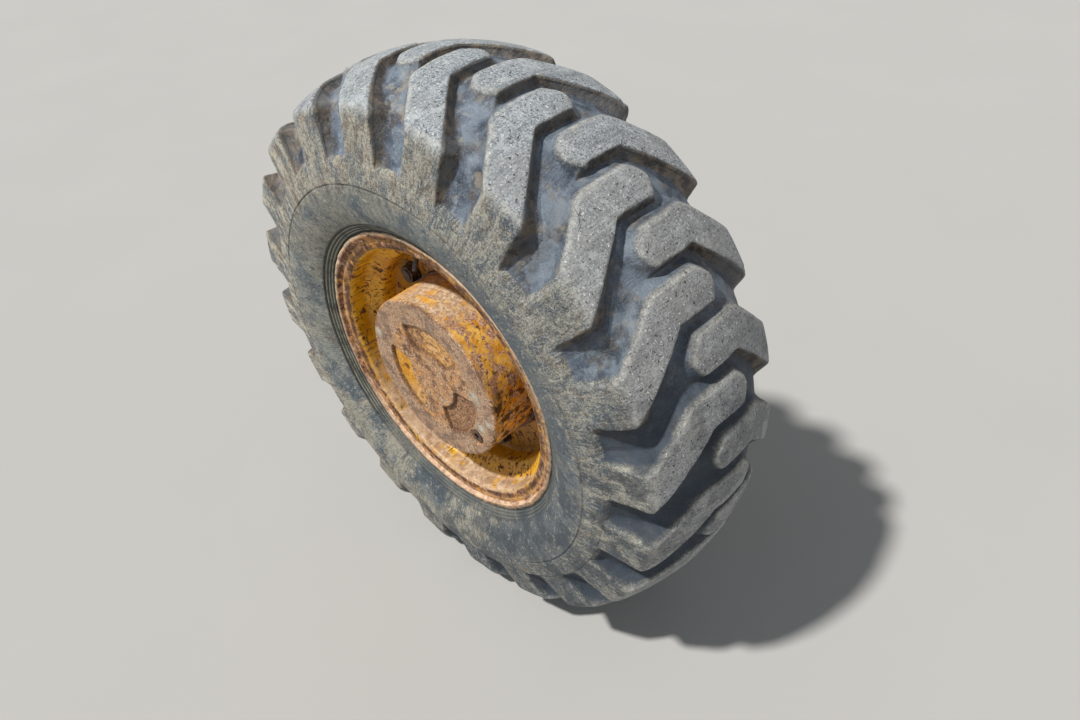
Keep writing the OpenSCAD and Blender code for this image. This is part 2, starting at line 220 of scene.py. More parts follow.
TREAD_R = 477.9  # in the middle of the worn tread
CROWN_CURVE = 294  # radius of the tread's curve across
SHOULDER_A = 139
SHOULDER_END = (141.0, 431.5)  # where the rounded shoulder runs into the side
FOOT_R = 369
FOOT_V = 214
WIDEST_R = 332  # where the tyre is widest
SIDE_CURVE = 110  # radius of the side's bulge
SIDE_CENTRE = 47.8
LUGS = 20  # on each side
PITCH = TURN * TREAD_R / LUGS
PHASE = math.radians(85.1)  # where a lug's trailing edge starts
LEG_W = 50
OUTER_LEG_W = 70
BEND_A = 39  # where a lug bends and starts to lean
LEAN = 0.9  # distance round the tyre for each millimetre outwards
LEG_ACROSS = 0.743  # a leaning leg's width across, as a share of its width round the tyre
NOSE_A = 41  # how far a lug's nose reaches past the middle
# The nose's trailing and leading cut: reach, slope along v and slope round the tyre
NOSE_CUTS = ((27, 0.78, 0.62), (21, 0.70, 0.72))
# A lug's width round the tyre from the shoulder down, and how steep its trailing flank is
SIDE_V = (SHOULDER_A, 158, FOOT_V)
SIDE_LEG_W = (OUTER_LEG_W, 68, 77)
STEEP_V = (SHOULDER_A, 175, FOOT_V)
STEEPNESS = (3.6, 2.2, 1.7)
LEADING_SLOPE = 1.35
NOSE_SLOPE = 1.6
EASE = 6  # rounding between a lug's slopes
FAR = 60.0  # out of every lug's reach


def side_a(r):
    return SIDE_CENTRE + np.sqrt(SIDE_CURVE ** 2 - (np.asarray(r, float) - WIDEST_R) ** 2)


# From, to and spacing of the tread's rows, closer where the form turns
ROW_SPACING = ((0, 18, 6), (18, 24, 3), (24, 46, 2.2), (46, 66, 5), (66, 120, 9), (120, 128, 4),
               (128, 142, 2), (142, 150, 4), (150, 192, 7), (192, 204, 4), (204, 214, 2))
# Distances round the tyre from a lug's trailing edge to the next edge of the other side's lug
COLUMN_STEPS = np.array([0, 1.8, 4.2, 9, 15, 21, 27, 33, 39, 44, 47.4, 50, 52, 54.4, 57, 59.6, 62.2,
                         64.6, 66.8, 68.7, 70.3, 71.9, 73.5])


def half_rows():
    """Developed distances from the middle of the tread to the lugs' feet."""
    rows = [0.0]
    for low, high, spacing in ROW_SPACING:
        n = max(1, round((high - low) / spacing))
        rows += [low + (high - low) * k / n for k in range(1, n + 1)]
    return np.array(rows)


def crown_r(a):
    return TREAD_R - a * a / (2 * CROWN_CURVE)


def envelope(v):
    """(a, r) of the lugs' faces at v: crown, rounded shoulder, side."""
    crown = [(a, crown_r(a)) for a in np.linspace(0, SHOULDER_A - 12, 30)]
    start, end = np.array(crown[-1]), np.array(SHOULDER_END)
    corner = np.array((SHOULDER_A + 0.4, crown_r(SHOULDER_A)))
    shoulder = [tuple((1 - t) ** 2 * start + 2 * t * (1 - t) * corner + t * t * end)
                for t in np.linspace(0.1, 1, 10)]
    path = np.array(crown + shoulder + [(float(side_a(FOOT_R)), FOOT_R)])
    length = np.r_[0, np.cumsum(np.hypot(*np.diff(path, axis=0).T))]
    return [np.interp(v * length[-1] / FOOT_V, length, path[:, i]) for i in range(2)]


# The groove's floor: v, a and r of the same places
GROOVE_V = (0, 40, 75, 105, 139, 160, 180, 196, 204, 209, 214)
GROOVE_A = (0, 40, 72, 93, 110, 121, 131, 139, 143.5, 147.6, 151.4)
GROOVE_R = (460.9, 457.7, 450.3, 442.9, 433.5, 412.5, 393, 379, 373.6, 371, 369)


def groove(v):
    """(a, r) of the groove's floor at v, with its corners eased except at the foot."""
    near = [np.clip(v + d, 0, FOOT_V) for d in (-6, -3, 0, 3, 6)]
    keep = step(FOOT_V - v, 0, 8)
    spots = []
    for line in (GROOVE_A, GROOVE_R):
        eased = np.mean([np.interp(n, GROOVE_V, line) for n in near], axis=0)
        spots.append(np.interp(v, GROOVE_V, line) * (1 - keep) + keep * eased)
    return spots


def edge_lines(v, own):
    """How far round the tyre a lug starts and ends at v, before the legs' lean."""
    if own:
        start = np.interp(v, [0, SHOULDER_A, FOOT_V], [0, 0, -9])
        end = np.interp(v, (0, BEND_A, 61) + SIDE_V, (LEG_W, LEG_W, OUTER_LEG_W) + SIDE_LEG_W)
        return start, end
    return np.interp(v, [0, 41, 80], [0, 0, 22]), np.interp(v, [0, 41, 80], [LEG_W, LEG_W, LEG_W])


def lean(v):
    """How far a leaning leg has moved round the tyre at v."""
    return LEAN * (np.clip(v, BEND_A, SHOULDER_A + 2) - BEND_A)


def column_places(v_signed):
    """Distances round the tyre of one pitch's columns in each row, gathered at the lugs' edges."""
    v = np.abs(v_signed)[:, None]
    outboard = (v_signed > 0)[:, None]
    edges = list(zip(edge_lines(v, True), edge_lines(v, False)))
    start_o, end_o = [np.where(outboard, own, other) for own, other in edges]
    start_i, end_i = [np.where(outboard, other, own) for own, other in edges]
    half = PITCH / 2
    keys = [start_o, end_o, half + start_i, half + end_i, PITCH + start_o]
    parts = []
    for k in (0, 2):
        face = COLUMN_STEPS <= LEG_W
        parts.append(keys[k] + (keys[k + 1] - keys[k]) * COLUMN_STEPS[face] / LEG_W)
        gap = (COLUMN_STEPS[~face] - LEG_W) / (half - LEG_W)
        parts.append(keys[k + 1] + (keys[k + 2] - keys[k + 1]) * gap)
    return np.concatenate(parts, axis=1) - lean(v)


def lug_height(u, v, depth, scale, wobble):
    """Height of a lug over the groove floor: u from its trailing edge, v towards its own side.

    Also how far the leading edge is, and how much the trailing face is what shapes the place."""
    c = u + lean(v) + wobble
    bends = (BEND_A - 6, BEND_A + 8, SHOULDER_A - 8, SHOULDER_A + 10)
    across = np.interp(v, bends, (1, LEG_ACROSS, LEG_ACROSS, 1)) * scale
    from_start = (c - edge_lines(v, True)[0]) * across
    side_end = np.interp(v, (0,) + SIDE_V, (OUTER_LEG_W,) + SIDE_LEG_W)
    trailing = np.where(v > BEND_A, from_start, np.maximum(u + wobble, from_start))
    before_bend = LEG_W - u + wobble + np.maximum(v - 66, 0) * 9
    leading = soft_min(before_bend, (side_end - c + 2 * wobble) * across, EASE)
    tip_v = v + wobble
    cuts = [(tip_v + reach) * slope + distance * turn
            for (reach, slope, turn), distance in zip(NOSE_CUTS, (u, LEG_W - u))]
    tip = soft_min(tip_v + NOSE_A, soft_min(*cuts, EASE), 8)
    back = depth + np.interp(v, STEEP_V, STEEPNESS) * trailing
    front = soft_min(depth + LEADING_SLOPE * leading, depth + NOSE_SLOPE * tip, EASE)
    return soft_min(back, front, EASE), np.minimum(leading, tip), step(front - back, -3, 3)


def all_lugs(u, v_signed, depth, scale, wobble):
    """What lug_height says of the highest lug at every place, each lug with wear of its own."""
    height = np.full(u.shape, -FAR)
    to_front = np.full(u.shape, FAR)
    behind = np.zeros(u.shape)
    for side in (1, -1):
        for k in range(-1, LUGS + 1):
            from_edge = u - (PITCH / 2 if side < 0 else 0) - PITCH * k
            near = np.abs(from_edge) < PITCH * 1.3
            h, front, back = lug_height(from_edge[near], (v_signed * side)[near], depth[near],
                                        scale[near], wobble[near])
            worn = 0.35 * rough(np.array([k * 7.3, side * 3.1, 0.5]), 1.0, 5) + 0.4
            h = soft_min(h, depth[near] - worn, 5)
            higher = h > height[near]
            to_front[near] = np.where(higher, front, to_front[near])
            behind[near] = np.where(higher, back, behind[near])
            height[near] = np.maximum(height[near], h)
    return height, to_front, behind


def make_tread():
    half = half_rows()
    v_signed = np.r_[half[::-1], -half[1:]]
    u = column_places(v_signed)
    u = np.concatenate([u + PITCH * k for k in range(LUGS)], axis=1)
    v = np.abs(v_signed)[:, None] * np.ones_like(u)
    sign = np.where(v_signed < 0, -1.0, 1.0)[:, None]
    top_a, top_r = envelope(v)
    low_a, low_r = groove(v)
    depth = np.hypot(top_a - low_a, top_r - low_r)
    angle = PHASE + u / TREAD_R
    spot = place(sign * top_a, top_r, angle) / MM
    wobble = 1.2 * layered(spot, 28, 11) + 0.8 * rough(spot, 9, 15)
    wobble = wobble * (1 + step(v, SHOULDER_A, SHOULDER_A + 20))
    height, to_front, behind = all_lugs(u, v * sign, depth, top_r / TREAD_R, wobble)
    floor = 0.8 * layered(spot, 30, 31) + 0.25 * rough(spot, 7, 35)
    # painted shade with some dirt: the groove floor just behind each lug's trailing flank
    nook_shade_and_dirt = behind * hump(np.minimum(height, 0), 0, 30)
    height = soft_max(height, floor, 11)
    level = np.clip(height / np.maximum(depth, 4), 0, 1)
    on_top = step(level, 0.6, 1.0)
    chips = np.minimum(rough(spot, 11, 47) + 0.62, 0) * 3.5
    wear = 0.5 * layered(spot, 45, 41) + 0.25 * rough(spot, 8, 43) + 0.12 * rough(spot, 4, 45)
    broken = np.minimum(layered(spot, 24, 49) + 0.15, 0) * 8 * hump(v, SHOULDER_A - 2, 10)
    height = np.minimum(height, depth) + on_top * (wear - 0.65 + chips + broken)
    # from a height over the groove floor to a place between the floor and the lugs' faces
    share = height / np.maximum(depth, 3)
    fade = step(FOOT_V - v, 0, 9)
    share = share * fade + (1 - fade) * np.clip(share, 0, 1)
    a = low_a + (top_a - low_a) * share
    r = low_r + (top_r - low_r) * share
    points = place(sign * a, r, angle)
    # the ends tuck in behind the sidewalls
    tuck = []
    for row, side in ((0, 1), (-1, -1)):
        for r_in, a_in in ((FOOT_R - 3, 1.6), (FOOT_R - 4, 26)):
            behind_side = np.full(u.shape[1], side * (float(side_a(FOOT_R)) - a_in))
            tuck.append(place(behind_side, r_in, angle[row]))
    body = np.concatenate([[tuck[1], tuck[0]], points, [tuck[2], tuck[3]]])

    deep = step(depth, 2, 9)
    crown = 1 - step(v + 7 * layered(spot, 16, 53), SHOULDER_A - 8, SHOULDER_A + 10)
    # pale bands: wear and painted highlight along the leading edges, shoulders and feet
    front_band = hump(to_front, 1.5, 2.6) * step(level, 0.45, 0.8) * deep
    shoulder_band = hump(v, SHOULDER_A - 3, 4.5) * on_top
    brim = step(v, FOOT_V - 16, FOOT_V - 4) * (1 - step(level, 0.3, 0.7))
    masks = [("top", on_top * crown * deep), ("hollow", (1 - step(level, 0.5, 0.85)) * deep),
             ("behind", behind * deep), ("level", level),
             ("edge_wear_and_highlight", np.clip(front_band + 0.7 * shoulder_band + brim, 0, 1)),
             ("nook_shade_and_dirt", nook_shade_and_dirt * (1 - step(level, 0.2, 0.6)) * deep), ("dusty", np.ones(u.shape))]
    padded = [(n, np.concatenate([m[:1], m[:1], m, m[-1:], m[-1:]])[::-1]) for n, m in masks]
    piece = sheet("tyre_tread", body[::-1], padded)
    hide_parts("tyre")
    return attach(piece, "wheel")


# The tyre's sides

BEAD_R = 228.6  # the rim's bead seat
RIM_HALF = 114.3  # half the width between the flanges
LIP_R = 254  # the flanges' outer edge
RIDGES = (258.6, 262.8, 267.2)
RIDGE_HEIGHT = 1.9
MOULD_R = 339  # the line between the mould's parts
SIDE_ROWS = np.r_[np.linspace(FOOT_R, MOULD_R + 4, 9), np.linspace(MOULD_R + 2.8, MOULD_R - 3, 8),
                  np.linspace(MOULD_R - 6, 281, 12), np.linspace(277, 271.2, 4),
                  np.linspace(270.4, 256.2, 22)]  # radii, closer at the mould line and the ridges


def make_sidewalls():
    angles = columns(AROUND)
    a = side_a(SIDE_ROWS) - RIDGE_HEIGHT * step(271 - SIDE_ROWS, 0, 3)
    for ridge in RIDGES:
        a = a + RIDGE_HEIGHT * hump(SIDE_ROWS, ridge, 1.15)
    a = a - 1.3 * hump(SIDE_ROWS, MOULD_R, 1.1) + 0.5 * hump(SIDE_ROWS, MOULD_R - 2.4, 1.2)
    foot_a = float(side_a(FOOT_R))
    tuck = [(foot_a - 14, FOOT_R + 9), (foot_a - 0.9, FOOT_R + 2.5)]
    clinch = [(127, 254.6), (121, 250), (RIM_HALF + 1.5, BEAD_R + 21), (RIM_HALF, BEAD_R + 6),
              (RIM_HALF - 1, BEAD_R + 0.4), (RIM_HALF - 24, BEAD_R + 0.4)]
    inside = [(RIM_HALF - 16, BEAD_R + 28), (140, 332), (118, 385), (70, 425)]
    outer = tuck + list(zip(a, SIDE_ROWS)) + clinch + inside
    a, r, spot = spread(np.array(outer + [(-x, y) for x, y in outer[::-1]]), angles)
    moved = 0.5 * layered(spot, 60, 51) + 0.22 * rough(spot, 10, 57) + 0.12 * rough(spot, 4, 58)
    flat = step(np.abs(a), 128, 134) * step(FOOT_R - 1 - r, 0, 8)
    a = a + np.sign(a) * (moved - 0.7) * flat
    outside = step(np.abs(a), 118, 124)
    masks = [("bead", step(273 - r, 0, 3) * outside),
             ("ridge", sum(hump(r, ridge, 1.0) for ridge in RIDGES) * outside),
             ("mould", hump(r, MOULD_R, 1.6) * outside),
             ("dusty", step(r, MOULD_R - 22, MOULD_R + 10))]
    masks = [(name, mask[::-1]) for name, mask in masks]
    piece = sheet("tyre_sidewalls", place(a, r, angles)[::-1], masks)
    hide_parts("tyre")
    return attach(piece, "wheel")


# Rim

BEND_R = 14  # the flange's rolled edge, on the outside
METAL = 8  # the rim's thickness
LIP_A = 130


def make_rim():
    angles = columns(AROUND)
    well = BEAD_R - 25.6
    bend_a, bend_r = RIM_HALF + BEND_R, LIP_R - BEND_R
    face = along([(0, well - METAL), (64, well - METAL), (71, well - 6.6), (88, BEAD_R - 11),
                  (93, BEAD_R - 8.3), (RIM_HALF - 4, BEAD_R - METAL), (RIM_HALF + 2, BEAD_R - 7.2),
                  (RIM_HALF + 6, BEAD_R - 4)], 3.2)
    rise = along([(RIM_HALF + 7.8, BEAD_R + 1), (RIM_HALF + METAL, bend_r)], 2.5)
    rolled = round_arc(bend_a, bend_r, BEND_R - METAL, 165, 90, 6)
    rolled += round_arc(bend_a, bend_r, BEND_R, 90, 180, 12)
    back = [(RIM_HALF, BEAD_R + 8), (RIM_HALF - 2, BEAD_R + 0.2), (RIM_HALF - 24, BEAD_R),
            (68, well), (0, well)]
    half = face + rise + rolled + back
    section = np.array(half + [(-x, y) for x, y in half[::-1]])
    sideways, radius = np.abs(section[:, :1]), section[:, 1:]
    a, r, spot = spread(section, angles)
    lip = step(np.abs(a), RIM_HALF + 2, RIM_HALF + 9)
    seen = np.ones(len(half) - len(back))
    shown = np.concatenate([seen, np.zeros(2 * len(back)), seen])[:, None]
    flaking = 0.5 * layered(spot, 16, 61) + 0.35 * rough(spot, 4.5, 66)
    edge = hump(radius, LIP_R - 0.8, 1.6) * step(sideways, RIM_HALF + 4, RIM_HALF + 9)
    edge_spots = place(np.full_like(angles, LIP_A), LIP_R, angles) / MM
    ragged = np.minimum(layered(edge_spots, 13, 77) * 2.6 - 0.4, 0)
    r = r + shown * (flaking * (0.35 + 0.75 * lip) - 0.3 + ragged * edge)
    a = a + shown * np.sign(a) * (0.6 * layered(spot, 22, 71) - 0.5) * lip
    wall = step(sideways, RIM_HALF + 3, RIM_HALF + 7)
    curl = step(radius, BEAD_R + 7, BEAD_R + 12) * wall
    root = wall * hump(radius, BEAD_R + 0.5, 5.5)
    crest = wall * hump(radius, BEAD_R + 9, 2.6)
    masks = [("curl", curl), ("crest", crest), ("edge", edge), ("root", root),
             ("wall", wall * (1 - curl)), ("seat", step(sideways, 86, 92) * (1 - wall))]
    piece = sheet("wheel_rim_rolled", place(a, r, angles), masks)
    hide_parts("wheel_rim")
    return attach(piece, "wheel")


# Hub cover

COVER_R = 144
COVER_FACE = 134
COVER_BACK = 46
# The pockets: from and to in degrees, and the share of paint left
POCKETS = ((44, 124, 0.4), (164, 244, 1.0), (284, 364, 0.1))
POCKET_IN = 50  # radius
POCKET_OUT = 100
POCKET_DEPTH = 5.5
PLUG_PLACE = (114, 323)  # radius, angle
CHALK_SPOTS = ((131, 163, 7), (103, 12, 9), (114, 339, 8), (128, 350, 6))  # radius, angle, size
SLOT = (75, 191)  # radius, angle
CORNER_R = 7
# Radii, closer at the pockets' edges
FACE_ROWS = np.r_[np.linspace(1.2, 46, 19), np.linspace(47.2, 55, 8), np.linspace(57.5, 94, 15),
                  np.linspace(95.6, 104, 8), np.linspace(106.5, COVER_R - 9, 13)]


def spot_distance(r, angle, place_r, place_angle):
    """Distance in millimetres from a place on the cover's face, its angle in degrees."""
    turn = math.radians(place_angle)
    return np.hypot(r * np.cos(angle) - place_r * math.cos(turn),
                    r * np.sin(angle) - place_r * math.sin(turn))


def pocket_depths(r, angle):
    """How far the three pockets sink the face, how much old paint they hold, and their feet."""
    depth = np.zeros_like(r)
    golden = np.zeros_like(r)
    foot = np.zeros_like(r)
    for low, high, share in POCKETS:
        middle = math.radians((low + high) / 2)
        half = math.radians((high - low) / 2)
        turned = np.abs((angle - middle + math.pi) % TURN - math.pi)
        sideways = (half - turned) * r
        inside = soft_min(soft_min(r - POCKET_IN, POCKET_OUT - r, 6), sideways, 9)
        depth = np.maximum(depth, POCKET_DEPTH * step(inside, -0.8, 2.4))
        gone = step((middle + half - angle) % TURN, 2 * half * 0.55, 2 * half * 0.2)
        golden = np.where(inside > -2, share * (1 - 0.6 * gone), golden)
        foot = np.maximum(foot, hump(inside, 1.6, 2.4))
    slot = step(5 - np.abs(spot_distance(r, angle, *SLOT) - 3), 0, 3) * step(depth, 3, 5)
    return depth + 2.5 * slot, golden, np.maximum(foot, slot)


def make_hub_cover():
    angles = columns(COVER_AROUND)
    section = [(COVER_FACE, r) for r in FACE_ROWS]
    section += round_arc(COVER_FACE - CORNER_R, COVER_R - CORNER_R, CORNER_R, 0, 90, 7)
    section += [(a, COVER_R) for a in np.linspace(COVER_FACE - 9.5, COVER_BACK, 30)]
    section += [(COVER_BACK, 20)]
    a, r, spot = spread(np.array(section), angles)
    depth, golden, foot = pocket_depths(r, angles)
    from_plug = spot_distance(r, angles, *PLUG_PLACE)
    face = step(a, COVER_FACE - 3, COVER_FACE - 0.5) * step(COVER_R - 3 - r, 0, 3)
    drum = step(COVER_FACE - a, 1, 8) * step(r, COVER_R - 3, COVER_R)
    cast = 0.65 * layered(spot, 14, 81) + 0.4 * rough(spot, 3.6, 86)
    seat = 5 * step(17 - from_plug, 0, 3) + 6 * step(9 - from_plug, 0, 2)
    rims = 1.1 * hump(from_plug, 19, 2.6) + 0.5 * hump(r, POCKET_IN - 2.5, 2.2)
    a = a + face * (cast - 1.2 - depth - np.minimum(seat, 9) + rims)
    swell = 0.5 * layered(spot, 24, 91) + 0.3 * rough(spot, 4, 95)
    r = r + drum * (swell * 0.8 - 0.55)
    chalk = sum(hump(spot_distance(r, angles, *where), 0, size) for *where, size in CHALK_SPOTS)
    # foot: the pockets' feet and the slot, which the material darkens as dirt with painted shade
    masks = [("sunk", face * step(depth, 1.5, 4.5)), ("golden", golden), ("foot", foot * face),
             ("drum", drum), ("outer", face * step(r, POCKET_OUT - 3, POCKET_OUT + 7)),
             ("chalk", np.clip(chalk, 0, 1) * face),
             ("plug_seat", face * step(21 - from_plug, 0, 4))]
    piece = sheet("hub_cover_cast", place(a, r, angles), masks, closed=False)
    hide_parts("hub_cover")
    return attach(piece, "wheel")


# Materials

def shade(red, green, blue):
    """A colour given as it shows on a screen, from 0 to 255."""
    parts = [x / 255 for x in (red, green, blue)]
    return tuple(p / 12.92 if p <= 0.04045 else ((p + 0.055) / 1.055) ** 2.4 for p in parts) + (1,)


MIX_FIRST, MIX_SECOND, MIX_RESULT = 6, 7, 2  # the mix node's sockets for colours
NOISE_SHIFT = (1.37, 0.71, 2.13)  # between one call and the next


class Finish:
    """A material's nodes, put together by short calls."""

    def __init__(self, name):
        self.material = bpy.data.materials.new(name)
        self.material.use_nodes = True
        self.tree = self.material.node_tree
        self.tree.nodes.clear()
        self.noises = 0
        places = self.add("ShaderNodeTexCoord")
        self.spot = places.outputs["Object"]
        self.facing = places.outputs["Normal"]

    def add(self, kind, inputs=(), **settings):
        """A new node with those settings, and with numbers or links on its inputs."""
        node = self.tree.nodes.new(kind)
        for name, value in settings.items():
            setattr(node, name, value)
        for name, value in dict(inputs).items():
            self.put(node.inputs[name], value)
        return node

    def put(self, socket, value):
        if isinstance(value, bpy.types.NodeSocket):
            self.tree.links.new(value, socket)
        else:
            socket.default_value = value

    def math(self, operation, first, second):
        return self.add("ShaderNodeMath", {0: first, 1: second}, operation=operation).outputs[0]

    def mask(self, name):
        return self.add("ShaderNodeAttribute", attribute_name=name).outputs["Fac"]

    def parts(self, vector):
        return self.add("ShaderNodeSeparateXYZ", {0: vector}).outputs

    def vector(self, operation, inputs):
        return self.add("ShaderNodeVectorMath", inputs, operation=operation).outputs

    def upward(self):
        """How far the surface faces up, from -1 to 1, with the wheel as it stands."""
        return self.parts(self.facing)[2]

    def along_axis(self, axis):
        """The place along x, y or z, in metres, with the wheel as it stands."""
        return self.parts(self.spot)[axis]

    def polar(self, around, outward):
        """Coordinates round the axle: around and outward are how fine the pattern is each way."""
        x, _, z = self.parts(self.spot)
        flat = self.add("ShaderNodeCombineXYZ", {0: x, 2: z}).outputs[0]
        unit = self.vector("NORMALIZE", {0: flat})[0]
        length = self.vector("LENGTH", {0: flat})["Value"]
        around_part = self.vector("SCALE", {0: unit, "Scale": around})[0]
        out = self.add("ShaderNodeCombineXYZ")
        self.put(out.inputs[1], self.math("MULTIPLY", length, outward))
        return self.vector("ADD", {0: around_part, 1: out.outputs[0]})[0]

    def noise(self, size, detail=4.0, roughness=0.55, spot=None, distortion=0.0):
        """Random values about 0.5, features of that size in millimetres; no two calls are alike."""
        self.noises += 1
        shift = [part * self.noises for part in NOISE_SHIFT]
        moved = self.vector("ADD", {0: spot or self.spot, 1: shift})[0]
        values = {"Vector": moved, "Scale": 1 / MM / size, "Detail": detail,
                  "Roughness": roughness, "Distortion": distortion}
        return self.add("ShaderNodeTexNoise", values).outputs["Fac"]

    def cracks(self, size, width):
        """1 on the lines between cells of that size in millimetres."""
        values = {"Vector": self.spot, "Scale": 1 / MM / size}
        node = self.add("ShaderNodeTexVoronoi", values, feature="DISTANCE_TO_EDGE")
        return self.between(node.outputs["Distance"], width, 0.0)

    def between(self, value, low, high, end=1.0, start=0.0):
        """Smoothly from start, where value is low, to end, where it is high."""
        values = {"Value": value, "From Min": low, "From Max": high, "To Min": start, "To Max": end}
        return self.add("ShaderNodeMapRange", values, interpolation_type="SMOOTHSTEP").outputs[0]

    def down_to(self, value, least):
        """1 where value is 0, down to least where it is 1."""
        return self.between(value, 0.0, 1.0, least, start=1.0)

    def spots(self, size, detail, roughness, low, high, end=1.0):
        """Random patches: from 0 to end as a noise goes from low to high."""
        return self.between(self.noise(size, detail, roughness), low, high, end)

    def mix(self, share, first, second):
        values = {"Factor": share, MIX_FIRST: first, MIX_SECOND: second}
        return self.add("ShaderNodeMix", values, data_type="RGBA").outputs[MIX_RESULT]

    def over(self, color, share, red, green, blue):
        """A colour with another, as it shows on a screen, laid over a share of it."""
        return self.mix(share, color, shade(red, green, blue))

    def both(self, first, second):
        return self.math("MULTIPLY", first, second)

    def either(self, first, second):
        return self.math("MAXIMUM", first, second)

    def total(self, first, second):
        return self.math("ADD", first, second)

    def bump(self, height, distance):
        values = {"Height": height, "Distance": distance * MM}
        return self.add("ShaderNodeBump", values).outputs[0]

    def done(self, color, roughness, normal=None, metallic=0.0, specular=0.5):
        """The finished material, of a plain glossy or rough surface."""
        values = {"Base Color": color, "Roughness": roughness, "Metallic": metallic,
                  "Specular IOR Level": specular}
        if normal:
            values["Normal"] = normal
        surface = self.add("ShaderNodeBsdfPrincipled", values)
        self.add("ShaderNodeOutputMaterial", {0: surface.outputs[0]})
        return self.material


class Rubber(Finish):
    """The tyre's material, with the patterns that its layers share."""

    def __init__(self):
        super().__init__("tyre_rubber")
        self.fine = self.noise(2.4, 3, 0.7)
        self.grain = self.noise(6, 4, 0.7)
        self.cloud = self.noise(48, 5, 0.62)
        self.broad = self.noise(95, 4, 0.6)
        self.patches = self.noise(1.0, 6, 0.68, self.polar(0.024, 0.024), distortion=0.8)
        self.streaks = self.noise(1.0, 4, 0.65, self.polar(0.09, 0.045), distortion=1.2)
        self.scratch = self.noise(1.0, 3, 0.6, self.polar(0.03, 0.42), distortion=1.5)
        self.hair = self.both(self.cracks(9, 0.08), self.spots(11, 3, 0.6, 0.5, 0.58))
        self.rearward = self.along_axis(0)
        self.slant = self.math("SUBTRACT", self.rearward, self.along_axis(2))
        # deep: the lower rear of the wheel, where the tyre's colours get painted shade
        self.deep = self.between(self.slant, 0.1, 0.36)
        self.outer = self.mask("dusty")
        less = self.between(self.rearward, -0.3, 0.3, 0.75, start=1.0)
        self.dusty = self.both(self.outer, less)


def clean_sides(m):
    """The sides under their dust, with painted shade: darker on the rear half, low at the rear and
    low at the front.
    """
    color = m.mix(m.between(m.cloud, 0.42, 0.58), shade(104, 114, 119), shade(150, 153, 148))
    color = m.over(color, m.between(m.broad, 0.46, 0.56, 0.5), 152, 148, 134)
    color = m.over(color, m.both(m.outer, m.between(m.broad, 0.5, 0.42, 0.55)), 98, 108, 116)
    # painted shade: the rear half darker and bluer
    rear_half_shade = m.both(m.between(m.rearward, -0.05, 0.2, 0.6), m.down_to(m.outer, 0.6))
    color = m.over(color, rear_half_shade, 74, 88, 100)
    # painted shade: darker low at the rear
    low_rear_shade = m.both(m.between(m.along_axis(2), 0.02, -0.28), m.between(m.rearward, -0.16, 0.08))
    color = m.over(color, m.both(low_rear_shade, 0.7), 66, 76, 84)
    # painted shadow: darker low at the front, in patches
    low_front = m.both(m.between(m.along_axis(2), 0.02, -0.2), m.between(m.rearward, 0.14, -0.06))
    shadow = m.both(low_front, m.between(m.cloud, 0.4, 0.56, 0.2, start=0.7))
    color = m.over(color, shadow, 66, 82, 96)
    return color, rear_half_shade, low_rear_shade, low_front


def side_dust(m, color, low_rear_shade, low_front):
    """Pale dust in clumps, less of it at the rear, whiter towards the front and greyer towards the
    rear as painted light and shade, and smears of it low down.
    """
    clumps = m.between(m.broad, 0.47, 0.54)
    # painted light and shade: the dust whiter towards the front, greyer towards the rear
    pale = m.mix(m.between(m.rearward, -0.15, -0.42), shade(184, 177, 162), shade(224, 216, 196))
    pale = m.over(pale, m.between(m.rearward, 0.0, 0.2, 0.6), 158, 158, 152)
    # painted shade: the dust thinner low at the rear, where that shade is painted
    dusty = m.both(m.dusty, m.either(clumps, m.down_to(low_rear_shade, 0.2)))
    dusty = m.both(dusty, m.down_to(low_rear_shade, 0.65))
    color = m.mix(m.both(dusty, m.between(m.patches, 0.48, 0.55, 0.9, start=0.05)), color, pale)
    color = m.over(color, m.between(m.patches, 0.47, 0.38, 0.65), 84, 97, 112)
    under = m.both(m.between(m.along_axis(2), -0.02, -0.22), m.between(m.rearward, 0.2, 0.06))
    foot = m.either(under, low_front)
    streaked = m.between(m.streaks, 0.42, 0.55, 0.7, start=0.1)
    smears = m.both(foot, m.both(clumps, streaked))
    color = m.over(color, smears, 182, 176, 158)
    earth = m.both(dusty, m.spots(20, 5, 0.68, 0.5, 0.6))
    return m.over(color, m.both(earth, 0.6), 130, 112, 92)


def side_scuffs(m, color):
    worn = m.both(m.outer, m.between(m.streaks, 0.54, 0.64, 0.5))
    color = m.over(color, worn, 190, 188, 176)
    worn = m.both(m.total(m.both(m.outer, 0.7), 0.3), m.between(m.streaks, 0.46, 0.37, 0.6))
    color = m.over(color, worn, 66, 73, 80)
    color = m.over(color, m.between(m.scratch, 0.6, 0.7, 0.35), 188, 186, 174)
    for low, high, share, *grit in ((0.54, 0.6, 0.4, 204, 202, 192), (0.46, 0.4, 0.5, 60, 64, 68)):
        grains = m.both(m.total(m.both(m.outer, 0.6), 0.4), m.between(m.fine, low, high))
        color = m.over(color, m.both(grains, share), *grit)
    color = m.over(color, m.spots(8, 4, 0.65, 0.57, 0.64, 0.5), 200, 192, 172)
    color = m.over(color, m.spots(8, 4, 0.65, 0.43, 0.36, 0.55), 70, 74, 78)
    color = m.over(color, m.both(m.hair, 0.5), 54, 56, 58)
    stain = m.spots(24, 5, 0.65, 0.58, 0.68)
    color = m.over(color, m.both(stain, 0.45), 104, 90, 74)
    # painted shade: darker in patches on the lower rear
    return m.over(color, m.both(m.deep, m.between(m.cloud, 0.52, 0.44, 0.6)), 62, 70, 78)


